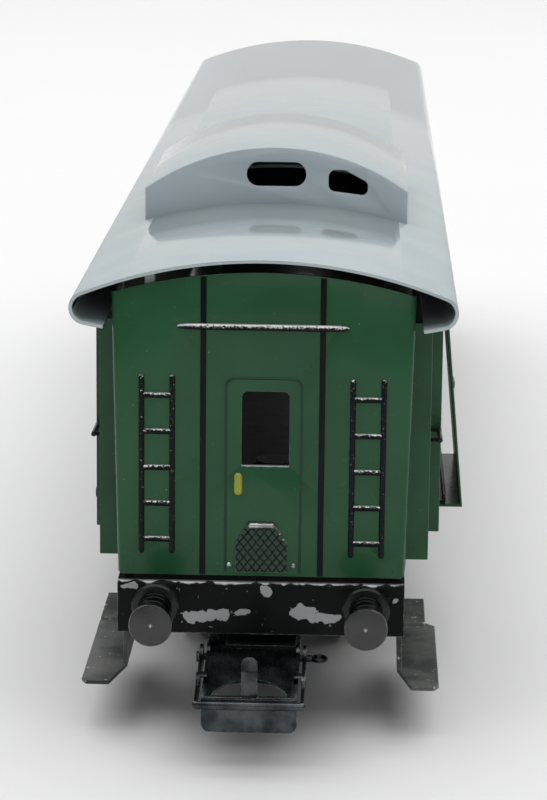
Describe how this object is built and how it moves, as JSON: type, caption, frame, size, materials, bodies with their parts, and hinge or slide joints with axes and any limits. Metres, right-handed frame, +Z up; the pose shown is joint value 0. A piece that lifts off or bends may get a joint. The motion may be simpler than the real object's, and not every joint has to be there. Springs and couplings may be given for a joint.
{
  "type": "model luggage van",
  "caption": "Tinplate bogie luggage van for model railways, with raised roof lookout, sliding doors, swivelling bogies, turned buffers and hook-and-bail couplers.",
  "frame": {"origin": "on the floor that the wheel flanges stand on, under the middle of the van", "axes": "+Z up, Y along the van with the front end (nearest the lookout) at -Y, X across"},
  "size_m": [0.04, 0.2286, 0.0523],
  "materials": {
    "green_enamel": "gloss dark green enamel, lightly scratched",
    "grey_enamel": "gloss light grey enamel",
    "black_enamel": "gloss black enamel, chipped to bare metal at edges",
    "turned_steel": "turned, darkened",
    "blued_steel": "dark blued sheet with worn edges",
    "bare_steel": "plain bright",
    "wheel_metal": "dark wheel with a bright worn tread"
  },
  "bodies": {
    "van": {"body_side_left": "green_enamel", "body_side_right": "green_enamel", "buffer_front_left": "turned_steel", "buffer_front_right": "turned_steel", "buffer_rear_left": "turned_steel", "buffer_rear_right": "turned_steel", "door_rail_front_left": "green_enamel", "door_rail_front_right": "green_enamel", "door_rail_rear_left": "green_enamel", "door_rail_rear_right": "green_enamel", "end_wall_front": "green_enamel", "end_wall_rear": "green_enamel", "entry_handle_front_left": "black_enamel", "entry_handle_front_right": "black_enamel", "entry_handle_rear_left": "black_enamel", "entry_handle_rear_right": "black_enamel", "lookout_cover": "grey_enamel", "lookout_panel_front": "grey_enamel", "lookout_panel_rear": "grey_enamel", "pivot_rivet_front": "bare_steel", "pivot_rivet_rear": "bare_steel", "pivot_washer_front": "black_enamel", "pivot_washer_rear": "black_enamel", "roof": "grey_enamel", "step_bracket_front_left": "black_enamel", "step_bracket_front_right": "black_enamel", "step_bracket_rear_left": "black_enamel", "step_bracket_rear_right": "black_enamel", "underframe": "black_enamel"},
    "bogie_front": {"bogie_frame_front": "black_enamel", "coupler_hook_front": "blued_steel", "coupler_rivet_front": "bare_steel", "bail_pin_front": "blued_steel"},
    "bail_front": {"coupler_bail_front": "blued_steel"},
    "wheelset_front_outer": {"axle_front_outer": "bare_steel", "wheel_front_outer_left": "wheel_metal", "wheel_front_outer_right": "wheel_metal"},
    "wheelset_front_inner": {"axle_front_inner": "bare_steel", "wheel_front_inner_left": "wheel_metal", "wheel_front_inner_right": "wheel_metal"},
    "door_front_right": {"sliding_door_front_right": "green_enamel"},
    "door_front_left": {"sliding_door_front_left": "green_enamel"},
    "bogie_rear": {"bogie_frame_rear": "black_enamel", "coupler_hook_rear": "blued_steel", "coupler_rivet_rear": "bare_steel", "bail_pin_rear": "blued_steel"},
    "bail_rear": {"coupler_bail_rear": "blued_steel"},
    "wheelset_rear_outer": {"axle_rear_outer": "bare_steel", "wheel_rear_outer_left": "wheel_metal", "wheel_rear_outer_right": "wheel_metal"},
    "wheelset_rear_inner": {"axle_rear_inner": "bare_steel", "wheel_rear_inner_left": "wheel_metal", "wheel_rear_inner_right": "wheel_metal"},
    "door_rear_right": {"sliding_door_rear_right": "green_enamel"},
    "door_rear_left": {"sliding_door_rear_left": "green_enamel"}
  },
  "joints": [
    {"name": "bogie_front_swivel", "type": "hinge", "parent": "van", "child": "bogie_front", "pos_m": [0, -0.057, 0.0135], "axis": [0, 0, 1], "range_deg": [-10, 10]},
    {"name": "bail_front_lift", "type": "hinge", "parent": "bogie_front", "child": "bail_front", "pos_m": [0, -0.1038, 0.008], "axis": [-1, 0, 0], "range_deg": [0, 25]},
    {"name": "wheelset_front_outer_spin", "type": "hinge", "parent": "bogie_front", "child": "wheelset_front_outer", "pos_m": [0, -0.071, 0.0064], "axis": [1, 0, 0], "continuous": true},
    {"name": "wheelset_front_inner_spin", "type": "hinge", "parent": "bogie_front", "child": "wheelset_front_inner", "pos_m": [0, -0.043, 0.0064], "axis": [1, 0, 0], "continuous": true},
    {"name": "door_front_right_slide", "type": "slide", "parent": "van", "child": "door_front_right", "axis": [0, 1, 0], "range_m": [0, 0.02]},
    {"name": "door_front_left_slide", "type": "slide", "parent": "van", "child": "door_front_left", "axis": [0, -1, 0], "range_m": [0, 0.02]},
    {"name": "bogie_rear_swivel", "type": "hinge", "parent": "van", "child": "bogie_rear", "pos_m": [0, 0.057, 0.0135], "axis": [0, 0, 1], "range_deg": [-10, 10]},
    {"name": "bail_rear_lift", "type": "hinge", "parent": "bogie_rear", "child": "bail_rear", "pos_m": [0, 0.1038, 0.008], "axis": [1, 0, 0], "range_deg": [0, 25]},
    {"name": "wheelset_rear_outer_spin", "type": "hinge", "parent": "bogie_rear", "child": "wheelset_rear_outer", "pos_m": [0, 0.071, 0.0064], "axis": [1, 0, 0], "continuous": true},
    {"name": "wheelset_rear_inner_spin", "type": "hinge", "parent": "bogie_rear", "child": "wheelset_rear_inner", "pos_m": [0, 0.043, 0.0064], "axis": [1, 0, 0], "continuous": true},
    {"name": "door_rear_right_slide", "type": "slide", "parent": "van", "child": "door_rear_right", "axis": [0, 1, 0], "range_m": [0, 0.02]},
    {"name": "door_rear_left_slide", "type": "slide", "parent": "van", "child": "door_rear_left", "axis": [0, -1, 0], "range_m": [0, 0.02]}
  ]
}
